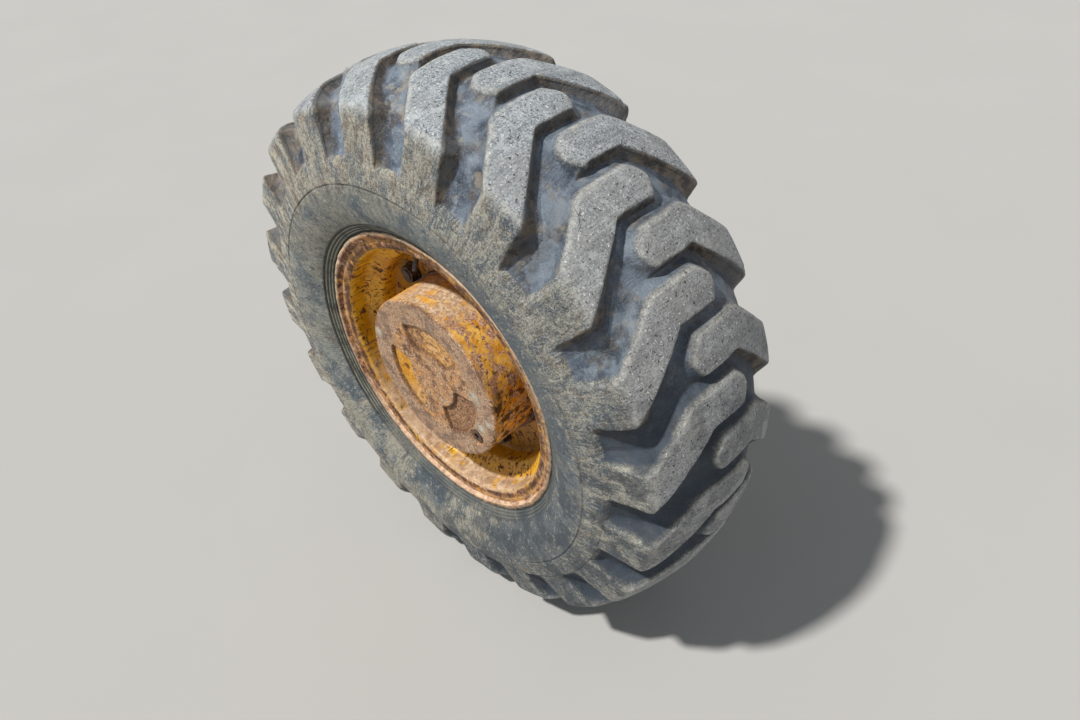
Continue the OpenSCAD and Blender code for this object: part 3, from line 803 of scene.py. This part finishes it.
def lug_faces(m):
    face = m.mix(m.between(m.fine, 0.4, 0.6), shade(122, 130, 137), shade(188, 195, 201))
    face = m.over(face, m.spots(60, 5, 0.62, 0.44, 0.58, 0.5), 150, 153, 154)
    face = m.over(face, m.between(m.patches, 0.5, 0.4, 0.5), 112, 119, 128)
    face = m.over(face, m.spots(22, 5, 0.66, 0.52, 0.62, 0.55), 198, 204, 208)
    face = m.over(face, m.between(m.streaks, 0.56, 0.64, 0.3), 206, 210, 210)
    # painted shade: lug faces greyer and warmer towards the rear
    face = m.over(face, m.between(m.rearward, 0.1, 0.42, 0.35), 158, 149, 140)
    face = m.over(face, m.both(m.hair, 0.25), 56, 58, 62)
    face = m.over(face, m.spots(3.2, 3, 0.6, 0.42, 0.35, 0.6), 72, 75, 80)
    face = m.over(face, m.spots(3.6, 2, 0.5, 0.64, 0.7, 0.85), 232, 234, 234)
    face = m.over(face, m.spots(5.0, 3, 0.55, 0.38, 0.32, 0.9), 46, 47, 50)
    # painted shade: darker in patches on the lower rear
    return m.over(face, m.both(m.deep, m.between(m.cloud, 0.52, 0.44, 0.45)), 88, 90, 94)


def grooves(m, color):
    """A colour with the grooves laid over it, and where they are."""
    floor = m.mix(m.spots(42, 4, 0.58, 0.4, 0.6), shade(56, 68, 84), shade(108, 121, 138))
    floor = m.over(floor, m.spots(19, 5, 0.66, 0.55, 0.65, 0.55), 158, 168, 178)
    floor = m.over(floor, m.between(m.fine, 0.55, 0.63, 0.35), 176, 182, 188)
    floor = m.over(floor, m.between(m.fine, 0.46, 0.38, 0.5), 44, 50, 60)
    soil = m.spots(34, 5, 0.65, 0.5, 0.6)
    floor = m.over(floor, m.both(soil, 0.55), 104, 92, 80)
    dust = m.total(m.noise(28, 5, 0.66), m.between(m.rearward, -0.35, 0.15, 0.0, start=0.08))
    floor = m.over(floor, m.between(dust, 0.55, 0.66, 0.65), 168, 158, 140)
    hollow = m.mask("hollow")
    # painted shade: groove floors darker on the lower rear and towards the rear
    floor = m.over(floor, m.both(m.deep, 0.85), 42, 50, 60)
    floor = m.over(floor, m.between(m.rearward, 0.0, 0.4, 0.5), 46, 56, 68)
    # painted sheen: paler bluish floor away from the trailing flanks, less of it on the lower rear
    painted_sheen = m.both(m.between(m.mask("behind"), 0.6, 0.1), m.spots(30, 4, 0.6, 0.42, 0.58, 0.45))
    lit_floor = m.both(painted_sheen, m.between(m.deep, 0.0, 0.6, 0.1, start=1.0))
    floor = m.over(floor, lit_floor, 142, 155, 168)
    return m.mix(hollow, color, floor), hollow


def lug_flanks(m, color):
    """Grime and painted shade behind the lugs and on their trailing flanks, and pale edges that are
    wear and painted highlight.
    """
    # painted shade with some dirt: dark floor next to the trailing flanks
    nook_shade_and_dirt = m.both(m.mask("nook_shade_and_dirt"), m.between(m.noise(18, 5, 0.66), 0.4, 0.56, 0.2, start=0.7))
    color = m.over(color, nook_shade_and_dirt, 52, 50, 50)
    # brown grime with painted shade on the trailing flanks
    flank_dirt_and_shade = m.mix(m.spots(15, 5, 0.65, 0.42, 0.58), shade(58, 51, 46), shade(116, 102, 86))
    flank = m.both(m.mask("behind"), m.both(m.between(m.mask("level"), 0.03, 0.22),
                                            m.between(m.mask("level"), 0.97, 0.86)))
    flank_dirt_and_shade = m.over(flank_dirt_and_shade, m.spots(40, 5, 0.62, 0.46, 0.58, 0.75), 96, 98, 101)
    flank_dirt_and_shade = m.over(flank_dirt_and_shade, m.spots(8, 5, 0.7, 0.58, 0.66, 0.5), 146, 130, 106)
    color = m.mix(m.both(flank, 0.85), color, flank_dirt_and_shade)
    # wear and painted highlight: pale leading edges, shoulders and feet
    band = m.both(m.mask("edge_wear_and_highlight"), m.spots(10, 5, 0.7, 0.42, 0.58))
    return m.over(color, m.both(band, 0.55), 200, 198, 188)


def side_lines(m, color, low_rear_shade, rear_half_shade):
    """Bead, ridges, mould line and cracks: painted shade on the bead and along the mould line,
    painted highlight on the ridges.
    """
    around = m.between(m.slant, -0.12, 0.12)
    # painted shade: a dark band on the bead, strongest at the front and top
    bead = m.both(m.mask("bead"), m.between(around, 0.0, 1.0, 0.5, start=0.88))
    color = m.mix(bead, color, m.mix(around, shade(38, 40, 38), shade(58, 64, 68)))
    # painted highlight: pale lines on the ridges, fainter towards the lower rear
    ridge = m.both(m.mask("ridge"), m.between(m.noise(30, 4, 0.6), 0.36, 0.56, 0.95, start=0.25))
    color = m.over(color, m.both(ridge, m.down_to(around, 0.35)), 164, 164, 148)
    # painted shade: the dark mould line, fainter where the rear is already painted darker
    line = m.both(m.mask("mould"), m.between(m.noise(60, 4, 0.6), 0.4, 0.55, 0.8, start=0.2))
    line = m.both(line, m.between(m.total(low_rear_shade, rear_half_shade), 0.0, 0.7, 0.25, start=1.0))
    color = m.over(color, line, 44, 46, 44)
    split = m.both(m.cracks(46, 0.014), m.spots(20, 3, 0.6, 0.58, 0.64))
    split = m.both(split, m.mask("top"))
    return m.over(color, m.both(split, 0.9), 34, 34, 36)


def tyre_rubber():
    """Old rubber: scuffed grey sides, speckled lug faces, bluish grooves with painted sheen, grime
    and painted shade behind the lugs, painted shade on the lower rear, painted highlight on edges.
    """
    m = Rubber()
    color, rear_half_shade, low_rear_shade, low_front = clean_sides(m)
    color = side_scuffs(m, side_dust(m, color, low_rear_shade, low_front))
    face = lug_faces(m)
    color = m.mix(m.mask("top"), color, face)
    color, hollow = grooves(m, color)
    color = side_lines(m, lug_flanks(m, color), low_rear_shade, rear_half_shade)
    height = m.total(m.both(m.grain, 1.0), m.both(m.fine, 0.8))
    height = m.total(height, m.both(m.streaks, 0.8))
    height = m.total(height, m.both(m.noise(15, 4, 0.6), 1.2))
    height = m.both(height, m.down_to(m.either(hollow, m.mask("top")), 0.6))
    roughness = m.between(m.both(hollow, m.down_to(m.deep, 0.4)), 0.0, 1.0, 0.46, start=0.82)
    return m.done(color, roughness, m.bump(height, 2.0), specular=0.45)


def add_chips(m, color, amount, size=9.0):
    """Dark chips and rust that break through paint; returns the colour and where the chips are."""
    chips = m.noise(size, 5, 0.66, distortion=0.8)
    limit = m.between(m.noise(44, 3, 0.5), 0.3, 0.7, 0.56 - amount, start=0.66 - amount)
    bare = m.between(m.math("SUBTRACT", chips, limit), 0.0, 0.02)
    rust = m.mix(m.spots(4, 4, 0.7, 0.4, 0.6), shade(58, 38, 28), shade(126, 78, 44))
    halo = m.between(m.math("SUBTRACT", chips, limit), -0.05, 0.0)
    color = m.over(color, m.both(halo, 0.5), 150, 92, 24)
    return (m.mix(bare, color, rust), bare)


def chipped_paint(name, base, amount):
    """Old paint of a base colour, with rust stains and that amount of dark chips."""
    m = Finish(name)
    cloud = m.noise(45, 5, 0.6)
    darker = shade(*[int(x * 0.86) for x in base])
    lighter = shade(*[min(255, int(x * 1.1)) for x in base])
    color = m.mix(m.between(cloud, 0.35, 0.65), darker, lighter)
    color = m.over(color, m.spots(24, 5, 0.65, 0.56, 0.7, 0.5), 150, 104, 50)
    color, bare = add_chips(m, color, amount)
    specks = m.spots(4.5, 3, 0.5, 0.68, 0.73)
    color = m.over(color, specks, 46, 32, 24)
    height = m.both(bare, -0.6)
    roughness = m.between(bare, 0.0, 1.0, 0.9, start=0.42)
    return m.done(color, roughness, m.bump(height, 0.8), specular=0.45)


def rim_finish():
    """The rim: yellow in the well, rusted and flaking on the flange, dusty where it faces up."""
    m = Finish("rim_finish")
    fine = m.noise(3.0, 4, 0.7)
    color = m.mix(m.spots(45, 5, 0.6, 0.35, 0.65), shade(206, 146, 6), shade(236, 180, 22))
    color = m.over(color, m.spots(20, 5, 0.65, 0.58, 0.7, 0.5), 142, 104, 44)
    slits = m.noise(1.0, 4, 0.62, m.polar(0.045, 0.16), distortion=0.8)
    marks = m.both(m.between(slits, 0.58, 0.61), m.spots(40, 3, 0.5, 0.38, 0.52))
    color = m.over(color, m.between(slits, 0.54, 0.58, 0.35), 156, 98, 22)
    rust = m.mix(m.between(fine, 0.4, 0.6), shade(52, 32, 24), shade(112, 68, 36))
    color = m.mix(marks, color, rust)
    color, bare = add_chips(m, color, 0.01, 11)
    bare = m.either(bare, marks)
    curl, wall, crest, seat = (m.mask("curl"), m.mask("wall"), m.mask("crest"), m.mask("seat"))
    up = m.between(m.upward(), 0.1, 0.75)

    # pale dust where the seat faces up
    ledge = m.mix(m.spots(18, 5, 0.65, 0.4, 0.6), shade(178, 146, 116), shade(216, 190, 162))
    ledge = m.over(ledge, m.spots(9, 5, 0.7, 0.52, 0.66, 0.7), 150, 114, 92)
    ledge = m.over(ledge, m.spots(15, 4, 0.6, 0.6, 0.68, 0.45), 222, 160, 84)
    dusty = m.both(up, m.spots(40, 4, 0.6, 0.3, 0.5))
    color = m.mix(m.both(m.either(seat, wall), dusty), color, ledge)

    # the flange: rust, paler where it faces up, with old paint left in patches
    dark = m.mix(m.spots(7, 5, 0.7, 0.4, 0.6), shade(78, 50, 40), shade(152, 110, 86))
    old = m.mix(m.spots(24, 5, 0.64, 0.53, 0.58, 0.8), dark, shade(206, 146, 76))
    old = m.over(old, m.spots(16, 5, 0.66, 0.54, 0.62, 0.85), 212, 160, 118)
    old = m.over(old, m.between(fine, 0.56, 0.66, 0.35), 190, 144, 100)
    pale = m.mix(m.spots(14, 5, 0.68, 0.4, 0.6), shade(186, 150, 126), shade(230, 200, 170))
    pale = m.over(pale, m.spots(18, 5, 0.65, 0.56, 0.64, 0.3), 214, 160, 110)
    turn = m.both(m.math("SUBTRACT", m.noise(30, 4, 0.6), 0.5), 2.0)
    flange = m.mix(m.between(m.total(up, turn), 0.08, 0.45), old, pale)
    flange = m.over(flange, m.between(fine, 0.42, 0.34, 0.35), 76, 50, 42)
    rusty = m.either(curl, m.both(wall, m.spots(22, 4, 0.65, 0.34, 0.46)))
    color = m.mix(rusty, color, flange)
    color = m.over(color, m.both(crest, m.spots(14, 5, 0.65, 0.46, 0.6, 0.75)), 218, 174, 128)
    worn = m.both(m.mask("edge"), m.between(m.noise(9, 4, 0.6), 0.38, 0.5, 0.95, start=0.2))
    color = m.over(color, worn, 214, 194, 166)
    root = m.both(m.mask("root"), m.spots(16, 5, 0.66, 0.4, 0.52))
    color = m.over(color, m.both(root, m.between(up, 0.7, 0.2, 0.9, start=0.25)), 74, 46, 30)
    creases = m.both(seat, m.spots(12, 4, 0.65, 0.44, 0.4, 0.5))
    color = m.over(color, m.both(creases, m.between(up, 0.5, 0.1)), 110, 72, 26)
    rough_part = m.either(rusty, bare)
    height = m.both(rough_part, m.total(fine, m.both(m.noise(7, 4, 0.6), 1.2)))
    height = m.total(height, m.both(bare, -0.5))
    roughness = m.between(rough_part, 0.0, 1.0, 0.9, start=0.42)
    return m.done(color, roughness, m.bump(height, 0.9), specular=0.45)


def cast_rust():
    """Rough casting: brown and pink rust on the face, old paint in the pockets and on the side."""
    m = Finish("cast_rust")
    sunk, drum, golden = (m.mask("sunk"), m.mask("drum"), m.mask("golden"))
    fine = m.noise(2.6, 4, 0.75)
    small = m.noise(6, 5, 0.7)
    patches = m.noise(10, 5, 0.7, distortion=0.5)

    # face
    face = m.mix(m.between(fine, 0.44, 0.57), shade(138, 108, 90), shade(238, 200, 162))
    face = m.over(face, m.spots(30, 4, 0.6, 0.42, 0.58, 0.5), 190, 146, 108)
    inner = m.down_to(m.mask("outer"), 0.3)
    smear = m.noise(1.0, 5, 0.66, m.polar(0.006, 0.13), distortion=1.0)
    face = m.over(face, m.both(inner, m.between(smear, 0.5, 0.6, 0.9)), 228, 160, 88)
    face = m.over(face, m.both(inner, m.between(patches, 0.54, 0.64, 0.6)), 240, 200, 156)
    face = m.over(face, m.spots(24, 5, 0.68, 0.5, 0.6, 0.75), 108, 80, 68)
    dark_smear = m.noise(1.0, 5, 0.66, m.polar(0.007, 0.1), distortion=1.0)
    face = m.over(face, m.between(dark_smear, 0.47, 0.38, 0.7), 96, 68, 56)
    face = m.over(face, m.both(m.mask("outer"), 0.3), 172, 152, 136)
    face = m.over(face, m.spots(14, 4, 0.6, 0.62, 0.7, 0.6), 182, 180, 162)
    face = m.over(face, m.between(small, 0.4, 0.33, 0.7), 80, 56, 48)

    # side
    paint = m.mix(m.spots(16, 4, 0.6, 0.35, 0.65), shade(226, 156, 40), shade(255, 206, 104))
    rust = m.mix(m.between(fine, 0.44, 0.56), shade(146, 108, 90), shade(236, 198, 166))
    side = m.mix(m.spots(17, 5, 0.66, 0.5, 0.55), paint, rust)
    side = m.over(side, m.spots(30, 5, 0.66, 0.54, 0.6, 0.75), 178, 134, 104)
    side = m.over(side, m.between(m.noise(9, 5, 0.62, distortion=0.4), 0.56, 0.66, 0.9), 98, 62, 44)
    tan = m.mix(m.between(small, 0.42, 0.6), shade(182, 150, 122), shade(232, 208, 176))
    high = m.both(m.between(m.upward(), 0.86, 0.97), m.spots(36, 4, 0.6, 0.3, 0.55))
    side = m.mix(m.both(drum, high), side, tan)
    low = m.between(m.upward(), 0.5, 0.1)
    oil = m.both(low, m.spots(20, 5, 0.68, 0.48, 0.56))
    side = m.over(side, m.both(oil, 0.9), 70, 46, 28)

    # the pockets' bottoms
    bottom = m.mix(m.between(fine, 0.4, 0.6), shade(98, 70, 56), shade(190, 146, 114))
    old = m.mix(m.between(small, 0.42, 0.6), shade(212, 156, 90), shade(240, 194, 132))
    gold = m.between(golden, 0.35, 0.9)
    worn_paint = m.mix(m.between(fine, 0.42, 0.56), shade(206, 138, 48), paint)
    old = m.mix(gold, old, worn_paint)
    cover = m.between(m.total(smear, m.both(golden, 0.3)), 0.5, 0.6)
    cover = m.both(cover, m.between(golden, 0.0, 0.3, 1.0, start=0.1))
    bottom = m.mix(cover, bottom, old)
    bottom = m.over(bottom, m.spots(5, 4, 0.65, 0.58, 0.66, 0.65), 96, 68, 54)

    color = m.mix(sunk, face, bottom)
    # dirt with painted shade: darker at the pockets' feet and in the slot
    foot_dirt_and_shade = m.both(m.mask("foot"), m.between(small, 0.35, 0.55, 0.85, start=0.4))
    color = m.over(color, foot_dirt_and_shade, 88, 60, 44)
    color = m.mix(drum, color, side)
    color = m.over(color, m.both(m.mask("chalk"), m.between(small, 0.35, 0.5)), 208, 208, 192)
    plug_seat = m.mask("plug_seat")
    rust = m.mix(m.between(fine, 0.4, 0.6), shade(132, 96, 72), shade(206, 166, 128))
    color = m.mix(plug_seat, color, rust)
    height = m.total(fine, m.both(small, 0.9))
    height = m.total(height, m.both(patches, 0.9))
    return m.done(color, 0.86, m.bump(height, 1.7), specular=0.3)


def greasy_steel(name, dark=(34, 28, 26), light=(84, 68, 58)):
    m = Finish(name)
    cloud = m.noise(8, 5, 0.6)
    color = m.mix(m.between(cloud, 0.38, 0.62), shade(*dark), shade(*light))
    color = m.over(color, m.spots(3, 4, 0.7, 0.6, 0.7, 0.6), 120, 86, 58)
    roughness = m.between(cloud, 0.3, 0.7, 0.75, start=0.35)
    return m.done(color, roughness, m.bump(m.noise(3, 4, 0.6), 0.6), specular=0.6)


def bare_steel():
    m = Finish("bare_steel")
    cloud = m.noise(14, 5, 0.6)
    color = m.mix(m.between(cloud, 0.35, 0.65), shade(96, 88, 80), shade(150, 142, 132))
    color = m.over(color, m.spots(7, 5, 0.65, 0.55, 0.68), 112, 72, 44)
    roughness = m.between(cloud, 0.3, 0.7, 0.7, start=0.35)
    return m.done(color, roughness, m.bump(m.noise(2.5, 3, 0.6), 0.4), metallic=0.55)


def black_rubber(name):
    m = Finish(name)
    color = m.mix(m.spots(6, 5, 0.6, 0.4, 0.65), shade(36, 35, 34), shade(72, 67, 60))
    return m.done(color, 0.7, m.bump(m.noise(2, 3, 0.6), 0.3), specular=0.4)


def floor_finish():
    m = Finish("floor")
    cloud = m.noise(400, 3, 0.5)
    return m.done(m.mix(cloud, (0.48, 0.48, 0.47, 1), (0.51, 0.51, 0.5, 1)), 0.85, specular=0.2)


def dress(piece, material):
    piece.data.materials.clear()
    piece.data.materials.append(material)


def make_floor():
    corners = ((-1, -1), (1, -1), (1, 1), (-1, 1))
    verts = [(x * FLOOR_HALF, y * FLOOR_HALF, FLOOR_Z) for x, y in corners]
    mesh = bpy.data.meshes.new("floor")
    mesh.from_pydata(verts, [], [(0, 1, 2, 3)])
    floor = bpy.data.objects.new("floor", mesh)
    bpy.context.collection.objects.link(floor)
    dress(floor, floor_finish())


def set_world():
    world = bpy.data.worlds.new("world")
    bpy.context.scene.world = world
    world.use_nodes = True
    tree = world.node_tree
    background = tree.nodes["Background"]
    path = tree.nodes.new("ShaderNodeLightPath")
    seen = tree.nodes.new("ShaderNodeMath")
    seen.operation = "MAXIMUM"
    tree.links.new(path.outputs["Is Camera Ray"], seen.inputs[0])
    tree.links.new(path.outputs["Is Glossy Ray"], seen.inputs[1])
    strength = tree.nodes.new("ShaderNodeMapRange")
    tree.links.new(seen.outputs[0], strength.inputs["Value"])
    strength.inputs["To Min"].default_value = SKY_FILL
    strength.inputs["To Max"].default_value = SKY_SEEN
    tree.links.new(strength.outputs[0], background.inputs["Strength"])
    background.inputs["Color"].default_value = SKY_COLOR


set_camera()
set_world()
bpy.context.scene.view_settings.view_transform = "Standard"
make_floor()
add_sun()

rubber = tyre_rubber()
dress(make_tread(), rubber)
dress(make_sidewalls(), rubber)
dress(make_rim(), rim_finish())
dress(make_hub_cover(), cast_rust())

dress(nodes["wheel_disc"], chipped_paint("disc_paint", (180, 128, 26), 0.04))
dress(nodes["swivel_housing"], chipped_paint("housing_paint", (190, 136, 26), 0.03))
dress(nodes["hub_body"], greasy_steel("hub_iron", (70, 46, 32), (128, 88, 60)))
dress(nodes["valve"], greasy_steel("valve_grease"))
dress(nodes["level_plug"], greasy_steel("plug_steel", (44, 34, 30), (96, 72, 58)))
dress(nodes["wheel_nuts"], greasy_steel("nut_grease"))
dress(nodes["wheel_studs"], greasy_steel("stud_grease", (40, 34, 30), (96, 80, 66)))
dress(nodes["hub_seal"], black_rubber("hub_seal_rubber"))
dress(nodes["shaft_seal"], black_rubber("shaft_seal_rubber"))
for name in ("steering_stop", "drive_shaft", "shaft_yoke", "yoke_ears"):
    dress(nodes[name], bare_steel())
